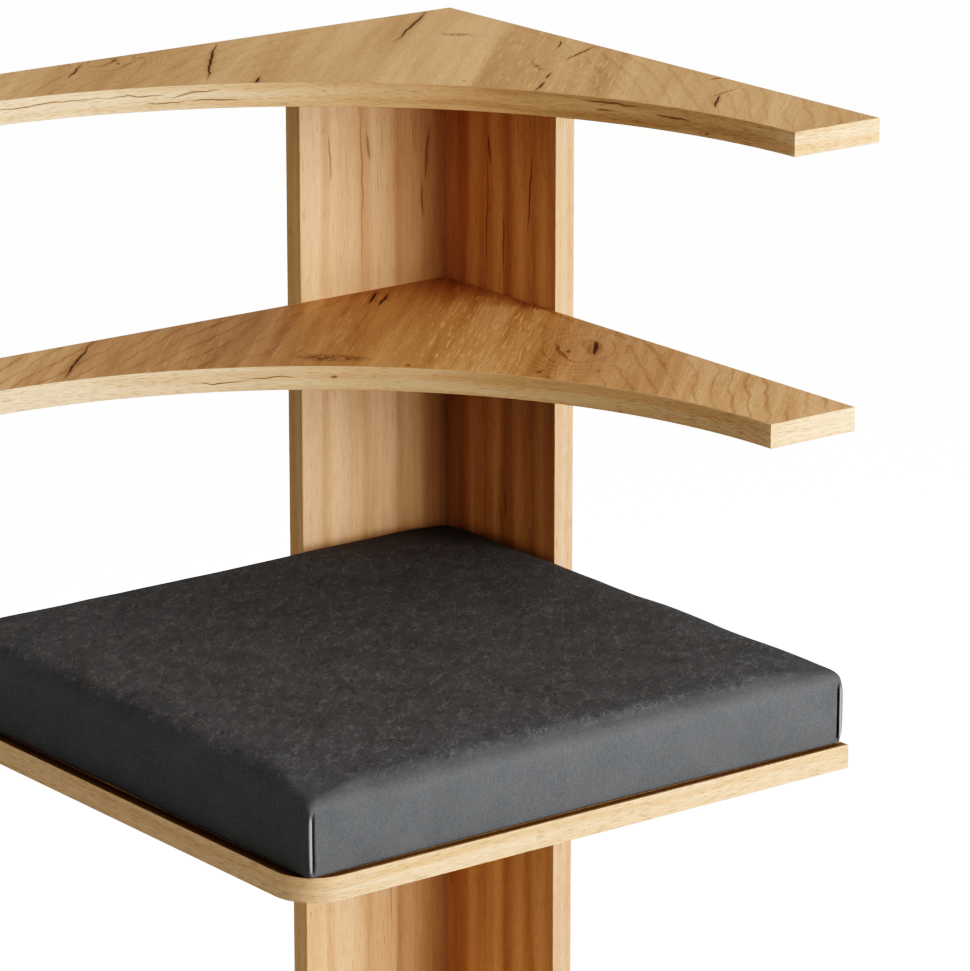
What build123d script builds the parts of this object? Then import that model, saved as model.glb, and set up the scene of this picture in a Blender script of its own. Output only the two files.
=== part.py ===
from build123d import *
import os

# A corner cat tree: two boards make an L-shaped column that stands in the corner of a room. It
# carries a square seat with a loose cushion, and above it two corner shelves with a round front.
# The column stands on a square base with glides.
#
# Frame: millimetres, +Z up. The origin is on the floor, under the middle of the square outline.
# One wall is the plane y = +HALF and the other is x = -HALF, so the column's corner is at
# (-HALF, +HALF), and the front corner of the seat points to (+X, -Y).

# ---- driving dimensions ----
WIDTH = 450.0           # outer size along each wall
HEIGHT = 850.0          # floor to the upper face of the top shelf
BOARD = 16.0            # laminated chipboard
BAND = 1.0              # edge band
EASE = 0.4              # rounding of a band's outer edges
LEG = 140.0             # width of the column along each wall
TOP_RADIUS = 380.0      # round front of the top shelf, about the front corner
MID_RADIUS = 364.0      # round front of the middle shelf, about the same corner
MID_DROP = 186.0        # top shelf's upper face down to the middle shelf's
SEAT_DROP = 413.0       # top shelf's upper face down to the seat's
CORNER_RADIUS = 30.0    # rounded front corner of the seat and the base
GLIDE_HEIGHT = 5.0
FIT = 0.1               # radial room around a fastener in its hole

# ---- cushion ----
CUSHION = 425.5         # side
CUSHION_TOP = 56.5      # seat's upper face to the cushion's top
LEFT_GAP = 4.0          # between the cushion and the left column board
RIGHT_GAP = 1.5         # between the cushion and the right column board
COVER = 1.2             # fabric
COVER_EDGE = 16.0       # rounding of the top edges
COVER_CORNER = 4.0      # rounding of the four corners in plan
FOAM_ROOM = 0.2         # between the foam and its cover
PAD = 40.0              # hook-and-loop square
PAD_THICK = 0.8
PAD_ROOM = 0.1          # between the two halves of a hook-and-loop pad
PAD_REACH = 130.0       # cushion's middle to a pad's middle, along X and Y

# ---- fasteners ----
SCREW_LENGTH = 50.0     # one-piece connector screw, 7 x 50
SCREW_R = 3.5
SCREW_HEAD_R = 5.0
SCREW_HEAD = 3.5
SOCKET = 4.0            # hexagon socket, across flats
SOCKET_DEPTH = 3.0
CAP_R = 6.5
CAP = 1.0
DOWEL_R = 4.0
DOWEL_FACE = 11.0       # dowel's depth in a board's face
DOWEL_EDGE = 19.0       # dowel's depth in a board's edge
DOWEL_TIP = 1.0         # chamfer of a dowel's ends
CAM_R = 7.5
CAM = 11.5
CAM_SLOT = (1.2, 7.0, 3.0)      # driver slot: width, length and depth on both sides of the face
CAM_FROM_END = 34.0     # column's end to a cam's axis
BOLT_R = 3.0
BOLT_THREAD = 11.0      # cam bolt's depth in the shelf
BOLT_COLLAR_R = 4.0
BOLT_COLLAR = 1.5
BOLT_CHANNEL_R = 4.2
BOLT_BALL_R = 3.8
BOLT_BALL = 4.0
BOLT_INTO_CAM = 2.0     # how far a bolt's tip reaches into its cam
SMALL_SCREW_R = 2.0     # screw of a bracket
SMALL_SCREW = 12.0
SMALL_HEAD_R = 3.6
SMALL_HEAD = 2.0
SMALL_SLOT = 0.8        # width of the driver slot, and the chamfer of the head
NAIL_R = 1.2
NAIL = 13.0
NAIL_HEAD_R = 3.2
NAIL_HEAD = 1.0
DRILL_DEEPER = 1.0      # a blind hole goes deeper than its fastener

# ---- places of the fasteners: from the middle of the outline towards the corner, or heights ----
SHELF_SCREWS_AT = (165, 103)
SHELF_DOWELS_AT = (134,)
TOP_DOWELS_AT = (188, 108)
TOP_CAMS_AT = (148,)
BASE_SCREWS_AT = (178, 106)
BASE_DOWELS_AT = (142,)
COLUMN_SCREWS_Z = (70, 250, 330, 530, 600, 760)
COLUMN_DOWELS_Z = (130, 290, 560, 720)

# ---- brackets ----
STEEL = 2.5
BEND_R = 2.0            # outside of a bracket's bend
SEAT_BRACKET_LEG = 60.0
SEAT_BRACKET_WIDTH = 20.0
SEAT_BRACKET_AT = 134.0     # from the middle of the outline towards the corner
WALL_BRACKET_DEPTH = 30.0
WALL_BRACKET_DROP = 22.0
WALL_BRACKET_WIDTH = 44.0
WALL_HOLE_R = 2.5
WALL_HOLE_SPACING = 24.0
WALL_BRACKET_AT = 40.0
SEAT_BRACKET_SCREWS = (25.2, 48.0)      # from the bend, on both legs
WALL_BRACKET_SCREW = 18.6               # from the bend, under the shelf
WALL_HOLE_DROP = 12.1                   # from the bend down to the holes in the wall

# ---- glides ----
GLIDE_R = 11.0
GLIDE_FROM_EDGE = 26.0
GLIDE_FROM_CORNER = 34.0    # at the rounded front corner
GLIDE_EDGE = 1.0            # chamfer
GLIDE_RECESS = 2.0          # for a nail's head

HALF = WIDTH / 2
INNER = HALF - BOARD                    # column's inner faces: x = -INNER and y = +INNER
MID_BOARD = HALF - BOARD / 2            # middle of a column board's thickness
LEG_END = LEG - HALF                    # front edges of the column: x = LEG_END, y = -LEG_END
FRONT = Vector(HALF, -HALF)             # front corner, centre of both round fronts
TOP_Z = HEIGHT - BOARD                  # undersides of the boards
MID_Z = HEIGHT - MID_DROP - BOARD
SEAT_Z = HEIGHT - SEAT_DROP - BOARD
BASE_Z = GLIDE_HEIGHT
SEAT_FACE = SEAT_Z + BOARD
COLUMN_Z = BASE_Z + BOARD
CUSHION_X = CUSHION / 2 + LEFT_GAP - INNER      # middle of the cushion
CUSHION_Y = INNER - RIGHT_GAP - CUSHION / 2

NODES = {}

INTO_LEFT = Vector(1, 0, 0)             # from the left wall into the tree
INTO_RIGHT = Vector(0, -1, 0)           # from the right wall into the tree
UP = Vector(0, 0, 1)
DOWN = Vector(0, 0, -1)
ON_FLOOR = (Align.CENTER, Align.CENTER, Align.MIN)


# ---------------------------------------------------------------- helpers
def block(x0, x1, y0, y1, z0, z1):
    """A box between two corners."""
    return Pos(x0, y0, z0) * Box(x1 - x0, y1 - y0, z1 - z0, align=Align.MIN)


def rod(start, direction, radius, length):
    """A cylinder that starts at a point and runs along a direction."""
    return Plane(origin=start, z_dir=direction) * Cylinder(radius, length, align=ON_FLOOR)


def group(solids):
    """Separate solids that share a node."""
    return Compound(children=list(solids))


def left_right(places, from_corner, z):
    """The same point on the left board and on the right board, mirrored about the diagonal."""
    left = [Vector(-from_corner, place, z) for place in places]
    right = [Vector(-place, from_corner, z) for place in places]
    return left, right


# ---------------------------------------------------------------- fasteners
def rims(shape, start, direction):
    """A round piece's circular edges, in their order along a direction."""
    circles = shape.edges().filter_by(GeomType.CIRCLE)
    return circles.sort_by(lambda edge: (edge.center() - start).dot(direction))


def connector_screw(start, direction):
    """A one-piece connector screw with its head's top at start."""
    hexagon = extrude(RegularPolygon(SOCKET / 2, 6, major_radius=False), SOCKET_DEPTH)
    socket = Plane(origin=start, z_dir=direction) * hexagon
    head = rod(start, direction, SCREW_HEAD_R, SCREW_HEAD)
    shank = rod(start, direction, SCREW_R, SCREW_LENGTH)
    tip = rims(shank, start, direction)[-1]
    return head + chamfer(tip, SCREW_R / 3) - socket


def screw_hole(start, direction):
    """The stepped hole for a connector screw."""
    head = rod(start, direction, SCREW_HEAD_R + FIT, SCREW_HEAD)
    return head + rod(start, direction, SCREW_R + FIT, SCREW_LENGTH + DRILL_DEEPER)


def capped(face_point, direction):
    """Where a screw's head starts below a cap that lies flush in a face."""
    return face_point + direction * CAP


def cap(face_point, direction, radius):
    """A round cap, flush with the face."""
    return rod(face_point, direction, radius, CAP)


def cap_seat(face_point, direction, radius):
    return rod(face_point, direction, radius + FIT, CAP)


def dowel(joint, direction):
    """A wooden dowel across a joint: direction points out of one board's face into the other's edge."""
    pin = rod(joint - direction * DOWEL_FACE, direction, DOWEL_R, DOWEL_FACE + DOWEL_EDGE)
    return chamfer(pin.edges().filter_by(GeomType.CIRCLE), DOWEL_TIP)


def dowel_hole(joint, direction):
    depth = DOWEL_FACE + DOWEL_EDGE + DRILL_DEEPER
    return rod(joint - direction * DOWEL_FACE, direction, DOWEL_R + FIT, depth)


def small_screw(start, direction):
    """A pan-head screw: start lies on the plate, under the head."""
    head = rod(start - direction * SMALL_HEAD, direction, SMALL_HEAD_R, SMALL_HEAD)
    rim = rims(head, start, direction)[0]
    face = Plane(origin=start - direction * SMALL_HEAD, z_dir=direction)
    slot = face * Box(SMALL_SLOT, SMALL_HEAD_R, SMALL_HEAD)
    return chamfer(rim, SMALL_SLOT) + rod(start, direction, SMALL_SCREW_R, SMALL_SCREW) - slot


# ---------------------------------------------------------------- boards and bands
def square(back, inset, corner):
    """The outline of a board: back is how far it reaches to both walls."""
    near = HALF - inset
    far = back - inset
    size = near + far
    middle = (near - far) / 2
    outline = Pos(middle, -middle) * Rectangle(size, size)
    if corner:
        tip = outline.vertices().sort_by(Axis((0, 0, 0), (1, -1, 0)))[-1]
        outline = fillet(tip, corner - inset)
    return outline


def plate(outline, z):
    return Pos(0, 0, z) * extrude(outline, BOARD)


def back_strips(back, z):
    """The two strips along the walls that a board's back bands fill."""
    right = block(-back, HALF, back - BAND, back, z, z + BOARD)
    left = block(-back, -back + BAND, -HALF, back - BAND, z, z + BOARD)
    return left, right


def eased(band, outside):
    """Rounds the long outer edges of a band: those that lie on its outer surface."""
    return fillet([edge for edge in band.edges() if outside(edge)], EASE)


def on_front_arc(radius):
    def outside(edge):
        return edge.geom_type == GeomType.CIRCLE and abs(edge.radius - radius) < BAND / 4
    return outside


def level(edge):
    """True for an edge that lies in a board's upper or lower face."""
    return edge.bounding_box().size.Z < BAND / 4


def on_outline(edge):
    """True for a level edge on the outline's two free sides or on its rounded front corner."""
    middle = edge @ 0.5
    free_side = max(middle.X, -middle.Y) > HALF - BAND / 4
    front_corner = edge.geom_type == GeomType.CIRCLE and edge.radius > CORNER_RADIUS - BAND / 4
    return level(edge) and (free_side or front_corner)


def make_shelf(name, back, radius, z):
    """A corner shelf with a round front, with its bands. Returns the board without its holes."""
    reach = Pos(FRONT.X, FRONT.Y, z) * Cylinder(radius, BOARD, align=ON_FLOOR)
    core_reach = Pos(FRONT.X, FRONT.Y, z) * Cylinder(radius + BAND, BOARD, align=ON_FLOOR)
    core = plate(square(back, BAND, 0), z) - core_reach
    skin = plate(square(back, 0, 0), z) - reach - core
    left_back, right_back = back_strips(back, z)
    NODES[name + "_front_band"] = eased(skin & core_reach, on_front_arc(radius))
    NODES[name + "_tip_bands"] = eased(skin - core_reach - left_back - right_back, on_outline)
    NODES[name + "_back_bands"] = group([left_back, right_back])
    return core


def make_square_board(name, back, z):
    """A square board with a rounded front corner, with its bands."""
    core = plate(square(back, BAND, CORNER_RADIUS), z)
    skin = plate(square(back, 0, CORNER_RADIUS), z) - core
    left_back, right_back = back_strips(back, z)
    NODES[name + "_front_band"] = eased(skin - left_back - right_back, on_outline)
    NODES[name + "_back_bands"] = group([left_back, right_back])
    return core


def make_column():
    """The two column boards with their bands. The right board covers the left board's edge."""
    z0, z1 = COLUMN_Z, TOP_Z
    left = block(-HALF, -INNER, -LEG_END + BAND, INNER, z0, z1)
    right = block(-HALF + BAND, LEG_END - BAND, INNER, HALF, z0, z1)
    left_band = block(-HALF, -INNER, -LEG_END, -LEG_END + BAND, z0, z1)
    right_band = block(LEG_END - BAND, LEG_END, INNER, HALF, z0, z1)
    left_front = left_band.edges().filter_by(Axis.Z).group_by(Axis.Y)[0]
    right_front = right_band.edges().filter_by(Axis.Z).group_by(Axis.X)[-1]
    NODES["column_left_front_band"] = fillet(left_front, EASE)
    NODES["column_right_front_band"] = fillet(right_front, EASE)
    NODES["column_back_band"] = block(-HALF, -HALF + BAND, INNER, HALF, z0, z1)
    return left, right


# ---------------------------------------------------------------- joints between the boards
def join_column(left, right):
    """Screws and dowels from the right board into the left board's edge."""
    screw_faces = [Vector(-MID_BOARD, HALF, z) for z in COLUMN_SCREWS_Z]
    dowel_joints = [Vector(-MID_BOARD, INNER, z) for z in COLUMN_DOWELS_Z]
    heads = [capped(face, INTO_RIGHT) for face in screw_faces]
    for start in heads:
        hole = screw_hole(start, INTO_RIGHT)
        left, right = left - hole, right - hole
    for face in screw_faces:
        right = right - cap_seat(face, INTO_RIGHT, CAP_R)
    for joint in dowel_joints:
        hole = dowel_hole(joint, INTO_RIGHT)
        left, right = left - hole, right - hole
    NODES["column_screws"] = group(connector_screw(start, INTO_RIGHT) for start in heads)
    NODES["column_screw_caps"] = group(cap(face, INTO_RIGHT, CAP_R) for face in screw_faces)
    NODES["column_dowels"] = group(dowel(joint, INTO_RIGHT) for joint in dowel_joints)
    return left, right


def join_shelf(name, board, z, left, right):
    """Screws and dowels from both column boards into the back edges of a shelf or seat."""
    middle = z + BOARD / 2
    left_faces, right_faces = left_right(SHELF_SCREWS_AT, HALF, middle)
    left_joints, right_joints = left_right(SHELF_DOWELS_AT, INNER, middle)
    screws, caps, dowels, holes = [], [], [], []
    sides = ((left_faces, left_joints, INTO_LEFT), (right_faces, right_joints, INTO_RIGHT))
    for faces, joints, direction in sides:
        for face in faces:
            start = capped(face, direction)
            holes.append(screw_hole(start, direction) + cap_seat(face, direction, CAP_R))
            screws.append(connector_screw(start, direction))
            caps.append(cap(face, direction, CAP_R))
        for joint in joints:
            holes.append(dowel_hole(joint, direction))
            dowels.append(dowel(joint, direction))
    for hole in holes:
        board, left, right = board - hole, left - hole, right - hole
    drill_bands(name + "_back_bands", holes)
    NODES[name + "_screws"] = group(screws)
    NODES[name + "_screw_caps"] = group(caps)
    NODES[name + "_dowels"] = group(dowels)
    return board, left, right


def drill_bands(name, holes):
    """Cuts holes through a node of bands."""
    solids = []
    for solid in NODES[name].solids():
        for hole in holes:
            solid = solid - hole
        solids.append(solid.solid())
    NODES[name] = group(solids)


def join_top(shelf, left, right):
    """Cam fittings and dowels between the column's upper ends and the top shelf."""
    left_joints, right_joints = left_right(TOP_DOWELS_AT, MID_BOARD, TOP_Z)
    left_bolts, right_bolts = left_right(TOP_CAMS_AT, MID_BOARD, TOP_Z)
    left_cams, right_cams = left_right(TOP_CAMS_AT, HALF, TOP_Z - CAM_FROM_END)
    bolt_reach = CAM_FROM_END - CAM_R + BOLT_INTO_CAM
    cams, cam_caps, bolts, dowels = [], [], [], []
    for joint in left_joints + right_joints:
        hole = dowel_hole(joint, DOWN)
        shelf, left, right = shelf - hole, left - hole, right - hole
        dowels.append(dowel(joint, DOWN))
    sides = ((left_bolts[0], left_cams[0], INTO_LEFT), (right_bolts[0], right_cams[0], INTO_RIGHT))
    for joint, face, direction in sides:
        thread = rod(joint + UP * BOLT_THREAD, DOWN, BOLT_R, BOLT_THREAD + bolt_reach)
        collar = rod(joint, DOWN, BOLT_COLLAR_R, BOLT_COLLAR)
        ball = rod(joint + DOWN * bolt_reach, DOWN, BOLT_BALL_R, BOLT_BALL)
        bolt = thread + collar + ball
        channel = rod(joint + UP * BOLT_THREAD, DOWN, BOLT_R + FIT, BOLT_THREAD)
        channel = channel + rod(joint, DOWN, BOLT_CHANNEL_R, CAM_FROM_END)
        seat = rod(face, direction, CAM_R + FIT, CAM + CAP)
        housing = rod(face + direction * CAP, direction, CAM_R, CAM) - channel
        turn = Plane(origin=face + direction * CAP, z_dir=direction) * Box(*CAM_SLOT)
        shelf = shelf - channel
        left, right = left - channel - seat, right - channel - seat
        bolts.append(bolt)
        cams.append(housing - turn)
        cam_caps.append(cap(face, direction, CAM_R))
    NODES["top_shelf_cams"] = group(cams)
    NODES["top_shelf_cam_caps"] = group(cam_caps)
    NODES["top_shelf_cam_bolts"] = group(bolts)
    NODES["top_shelf_dowels"] = group(dowels)
    return shelf, left, right


def join_base(base, left, right):
    """Screws and dowels from under the base into the column's lower ends."""
    left_screws, right_screws = left_right(BASE_SCREWS_AT, MID_BOARD, BASE_Z)
    left_dowels, right_dowels = left_right(BASE_DOWELS_AT, MID_BOARD, COLUMN_Z)
    for start in left_screws + right_screws:
        hole = screw_hole(start, UP)
        base, left, right = base - hole, left - hole, right - hole
    for joint in left_dowels + right_dowels:
        hole = dowel_hole(joint, UP)
        base, left, right = base - hole, left - hole, right - hole
    NODES["base_screws"] = group(connector_screw(start, UP) for start in left_screws + right_screws)
    NODES["base_dowels"] = group(dowel(joint, UP) for joint in left_dowels + right_dowels)
    return base, left, right


# ---------------------------------------------------------------- steel brackets
def angle_plate(long_leg, short_leg, width):
    """A bent strip in the X-Z plane: the long leg lies under a board, the short one hangs down."""
    flat = Pos(long_leg / 2, 0, -STEEL / 2) * Box(long_leg, width, STEEL)
    drop = Pos(STEEL / 2, 0, -short_leg / 2) * Box(STEEL, width, short_leg)
    bend = (flat + drop).edges().filter_by(Axis.Y).sort_by(lambda edge: edge.center().X - edge.center().Z)
    return fillet(bend[0], BEND_R)


def seat_bracket():
    """An angle under the seat: two screws up into the seat, two into the column's inner face."""
    angle = angle_plate(SEAT_BRACKET_LEG, SEAT_BRACKET_LEG, SEAT_BRACKET_WIDTH)
    screws = []
    for place in SEAT_BRACKET_SCREWS:
        screws.append((Vector(place, 0, -STEEL), UP))
        screws.append((Vector(STEEL, 0, -place), Vector(-1, 0, 0)))
    for start, direction in screws:
        angle = angle - rod(start - direction, direction, SMALL_SCREW_R + FIT, STEEL + 2)
    return angle, screws


def wall_bracket():
    """An angle under a shelf's back edge: two screws up into the shelf, two holes to the wall."""
    angle = angle_plate(WALL_BRACKET_DEPTH, WALL_BRACKET_DROP, WALL_BRACKET_WIDTH)
    screws = []
    for side in (-1, 1):
        start = Vector(WALL_BRACKET_SCREW, side * WALL_HOLE_SPACING / 2, -STEEL)
        angle = angle - rod(start - UP, UP, SMALL_SCREW_R + FIT, STEEL + 2)
        screws.append((start, UP))
        hole = Vector(-1, side * WALL_HOLE_SPACING / 2, -WALL_HOLE_DROP)
        angle = angle - rod(hole, Vector(1, 0, 0), WALL_HOLE_R, STEEL + 2)
    return angle, screws


def fix_brackets(name, bracket, back, along, z, boards):
    """Puts a bracket on the left and one on the right, and drills the boards for their screws."""
    angle, screws = bracket
    left_place = Pos(-back, along, z)
    right_place = Pos(-along, back, z) * Rot(0, 0, -90)
    placed = []
    for side, place in (("left", left_place), ("right", right_place)):
        NODES[name + "_" + side] = place * angle
        for start, direction in screws:
            origin = Vector(*place.position)
            turn = Rot(*place.orientation)
            at = origin + Vector(*(turn * Pos(*start)).position)
            way = Vector(*(turn * Pos(*direction)).position)
            placed.append(small_screw(at, way))
            hole = rod(at, way, SMALL_SCREW_R + FIT, SMALL_SCREW + DRILL_DEEPER)
            boards = [board - hole for board in boards]
    NODES[name + "_screws"] = group(placed)
    return boards


# ---------------------------------------------------------------- glides
def make_glides(base):
    """Plastic glides nailed under the base: one near each corner and one in the middle."""
    near = HALF - GLIDE_FROM_EDGE
    front = HALF - GLIDE_FROM_CORNER
    places = [(-near, near), (near, near), (-near, -near), (front, -front), (0, 0)]
    glides, nails = [], []
    for x, y in places:
        foot = Vector(x, y, 0)
        disc = rod(foot, UP, GLIDE_R, GLIDE_HEIGHT)
        disc = chamfer(disc.edges().filter_by(GeomType.CIRCLE).sort_by(Axis.Z)[0], GLIDE_EDGE)
        recess = rod(foot, UP, NAIL_HEAD_R + FIT, GLIDE_RECESS)
        disc = disc - recess - rod(foot, UP, NAIL_R + FIT, GLIDE_HEIGHT)
        head = foot + UP * (GLIDE_RECESS - NAIL_HEAD)
        nail = rod(head, UP, NAIL_HEAD_R, NAIL_HEAD) + rod(head, UP, NAIL_R, NAIL)
        base = base - rod(foot, UP, NAIL_R + FIT, head.Z + NAIL + DRILL_DEEPER)
        glides.append(disc)
        nails.append(nail)
    NODES["base_glides"] = group(glides)
    NODES["base_glide_nails"] = group(nails)
    return base


# ---------------------------------------------------------------- cushion
def pillow(inset, z0, z1, edge):
    """A square block in the cushion's place with rounded corners and rounded top edges."""
    side = CUSHION - 2 * inset
    body = Pos(CUSHION_X, CUSHION_Y, z0) * Box(side, side, z1 - z0, align=ON_FLOOR)
    body = fillet(body.edges().filter_by(Axis.Z), COVER_CORNER - inset)
    return fillet(body.faces().sort_by(Axis.Z)[-1].edges(), edge - inset) if edge else body


def make_cushion():
    """A foam block in a fabric cover with a bottom panel, held by four hook-and-loop pads."""
    hook_z = SEAT_FACE
    loop_z = hook_z + PAD_THICK + PAD_ROOM
    panel_z = loop_z + PAD_THICK
    foam_z = panel_z + COVER + FOAM_ROOM
    top = SEAT_FACE + CUSHION_TOP
    cover = pillow(0, panel_z + COVER, top, COVER_EDGE)
    hollow = pillow(COVER, panel_z + COVER - 1, top - COVER, COVER_EDGE)
    NODES["cushion_cover"] = cover - hollow
    NODES["cushion_bottom_panel"] = pillow(0, panel_z, panel_z + COVER, 0)
    inset = COVER + FOAM_ROOM
    NODES["cushion_foam"] = pillow(inset, foam_z, top - inset, COVER_EDGE)
    sides = (-PAD_REACH, PAD_REACH)
    places = [(CUSHION_X + i, CUSHION_Y + j) for i in sides for j in sides]
    half = PAD / 2
    NODES["seat_hook_pads"] = group(
        block(x - half, x + half, y - half, y + half, hook_z, hook_z + PAD_THICK) for x, y in places)
    NODES["cushion_loop_pads"] = group(
        block(x - half, x + half, y - half, y + half, loop_z, loop_z + PAD_THICK) for x, y in places)


# ---------------------------------------------------------------- assembly
def make_tree():
    left, right = make_column()
    top = make_shelf("top_shelf", HALF, TOP_RADIUS, TOP_Z)
    mid = make_shelf("mid_shelf", INNER, MID_RADIUS, MID_Z)
    seat = make_square_board("seat", INNER, SEAT_Z)
    base = make_square_board("base", HALF, BASE_Z)

    left, right = join_column(left, right)
    top, left, right = join_top(top, left, right)
    mid, left, right = join_shelf("mid_shelf", mid, MID_Z, left, right)
    seat, left, right = join_shelf("seat", seat, SEAT_Z, left, right)
    base, left, right = join_base(base, left, right)
    boards = [seat, left, right]
    seat, left, right = fix_brackets("seat_bracket", seat_bracket(), INNER, SEAT_BRACKET_AT, SEAT_Z, boards)
    [top] = fix_brackets("wall_bracket", wall_bracket(), HALF, WALL_BRACKET_AT, TOP_Z, [top])
    base = make_glides(base)
    make_cushion()

    NODES["column_left_board"] = left
    NODES["column_right_board"] = right
    NODES["top_shelf_board"] = top
    NODES["mid_shelf_board"] = mid
    NODES["seat_board"] = seat
    NODES["base_board"] = base


make_tree()
os.makedirs("parts", exist_ok=True)
for node, shape in NODES.items():
    export_step(shape, "parts/" + node + ".step")
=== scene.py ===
import math

import bpy
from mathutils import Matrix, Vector, noise
from mathutils.kdtree import KDTree


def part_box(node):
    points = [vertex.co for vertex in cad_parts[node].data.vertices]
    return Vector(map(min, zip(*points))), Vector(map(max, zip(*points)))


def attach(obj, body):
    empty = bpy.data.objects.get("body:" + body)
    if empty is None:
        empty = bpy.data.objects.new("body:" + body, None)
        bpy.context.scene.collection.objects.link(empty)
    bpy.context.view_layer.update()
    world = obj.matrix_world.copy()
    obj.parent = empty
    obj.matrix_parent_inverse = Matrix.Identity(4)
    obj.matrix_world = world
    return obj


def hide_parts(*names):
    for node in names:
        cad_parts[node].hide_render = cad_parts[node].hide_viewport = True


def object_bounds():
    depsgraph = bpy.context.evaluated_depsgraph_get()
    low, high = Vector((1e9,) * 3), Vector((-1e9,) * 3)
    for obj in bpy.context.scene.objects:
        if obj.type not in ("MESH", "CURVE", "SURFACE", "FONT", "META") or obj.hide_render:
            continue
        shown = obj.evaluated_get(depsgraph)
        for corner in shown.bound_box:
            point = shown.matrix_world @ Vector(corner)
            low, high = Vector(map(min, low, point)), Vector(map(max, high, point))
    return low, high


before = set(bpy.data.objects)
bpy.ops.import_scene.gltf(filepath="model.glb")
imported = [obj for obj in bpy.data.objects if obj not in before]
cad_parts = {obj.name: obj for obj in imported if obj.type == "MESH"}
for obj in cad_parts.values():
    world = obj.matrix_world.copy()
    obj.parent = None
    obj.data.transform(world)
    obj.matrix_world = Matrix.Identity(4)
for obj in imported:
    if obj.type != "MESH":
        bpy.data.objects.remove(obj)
cad_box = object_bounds()

# A corner cat tree of oak-look boards with a dark grey seat cushion. The boards, bands and
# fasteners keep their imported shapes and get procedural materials; the cushion is made here.
#
# Metres, +Z up, the row frame. The two walls are at -X and +Y, and the front corner is at (+X, -Y).


def clamped(value):
    return min(max(value, 0.0), 1.0)


def into_scene(thing):
    bpy.context.scene.collection.objects.link(thing)


# ---------------------------------------------------------------- shader building
def srgb(red, green, blue):
    """A colour from 0 to 255 as linear RGBA."""
    def linear(value):
        value /= 255
        return value / 12.92 if value <= 0.04045 else ((value + 0.055) / 1.055) ** 2.4
    return [linear(value) for value in (red, green, blue)] + [1.0]


MIX_COLOURS, MIX_RESULT = (6, 7), 2      # sockets of a Mix node that mixes colours


class Shader:
    """A material under construction. A value is a number, a tuple or another node's output."""

    def __init__(self, name, **constants):
        self.material = bpy.data.materials.new(name)
        self.material.use_nodes = True
        self.tree = self.material.node_tree
        self.surface = self.tree.nodes["Principled BSDF"]
        for socket, value in constants.items():
            self.surface.inputs[socket.replace("_", " ")].default_value = value
        self.place = self.tree.nodes.new("ShaderNodeTexCoord").outputs["Object"]

    def put(self, socket, value):
        """Links another node's output to a socket, or sets the socket."""
        if isinstance(value, bpy.types.NodeSocket):
            self.tree.links.new(value, socket)
        else:
            socket.default_value = value

    def add(self, kind, inputs, **settings):
        node = self.tree.nodes.new("ShaderNode" + kind)
        for setting, value in settings.items():
            setattr(node, setting, value)
        for key, value in inputs.items():
            self.put(node.inputs[key], value)
        return node

    def math(self, operation, a, b=0.0, c=0.0, clamp=False):
        return self.add("Math", {0: a, 1: b, 2: c}, operation=operation, use_clamp=clamp).outputs[0]

    def total(self, *values):
        result = values[0]
        for value in values[1:]:
            result = self.math("ADD", result, value)
        return result

    def times(self, *values):
        result = values[0]
        for value in values[1:]:
            result = self.math("MULTIPLY", result, value)
        return result

    def along(self, direction):
        return self.add("VectorMath", {0: self.place, 1: direction}, operation="DOT_PRODUCT").outputs["Value"]

    def vector(self, x, y, z=0.0):
        return self.add("CombineXYZ", {0: x, 1: y, 2: z}).outputs[0]

    def noise(self, vector, scale=1.0, detail=2.0, rough=0.5, bend=0.0):
        values = {"Vector": vector, "Scale": scale, "Detail": detail, "Roughness": rough, "Distortion": bend}
        return self.add("TexNoise", values).outputs["Fac"]

    def ease(self, value, low, high, to_low=0.0, to_high=1.0):
        """A smooth step from to_low to to_high while the value goes from low to high."""
        node = self.add("MapRange", {"Value": value, "From Min": low, "From Max": high,
                                     "To Min": to_low, "To Max": to_high}, interpolation_type="SMOOTHSTEP")
        return node.outputs["Result"]

    def span(self, value, low, high, to_low=0.0, to_high=1.0):
        node = self.add("MapRange", {"Value": value, "From Min": low, "From Max": high,
                                     "To Min": to_low, "To Max": to_high})
        return node.outputs["Result"]

    def line(self, vector, scale, level, width, bend=0.0):
        """Thin curly lines, where a noise passes a level."""
        off = self.math("ABSOLUTE", self.math("SUBTRACT", self.noise(vector, scale, 1.0, bend=bend), level))
        return self.ease(off, 0.0, width, 1.0, 0.0)

    def ramp(self, value, stops, smooth=True):
        """A colour for each place from 0 to 1."""
        node = self.add("ValToRGB", {0: value})
        node.color_ramp.interpolation = "EASE" if smooth else "LINEAR"
        points = node.color_ramp.elements
        for place, colour in stops[2:]:
            points.new(place)
        for point, (place, colour) in zip(points, stops):
            point.position = place
        for point, (place, colour) in zip(points, stops):
            point.color = colour
        return node.outputs[0]

    def mix(self, share, a, b):
        node = self.add("Mix", {}, data_type="RGBA")
        for socket, value in zip((0, *MIX_COLOURS), (share, a, b)):
            self.put(node.inputs[socket], value)
        return node.outputs[MIX_RESULT]

    def bump(self, height, depth):
        node = self.add("Bump", {"Height": height, "Distance": depth, "Strength": 1.0})
        self.put(self.surface.inputs["Normal"], node.outputs[0])

    def colour(self, value):
        self.put(self.surface.inputs["Base Color"], value)

    def roughness(self, value):
        self.put(self.surface.inputs["Roughness"], value)


def wear(node, material):
    """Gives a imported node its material."""
    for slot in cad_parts[node].material_slots:
        slot.material = material


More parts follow.
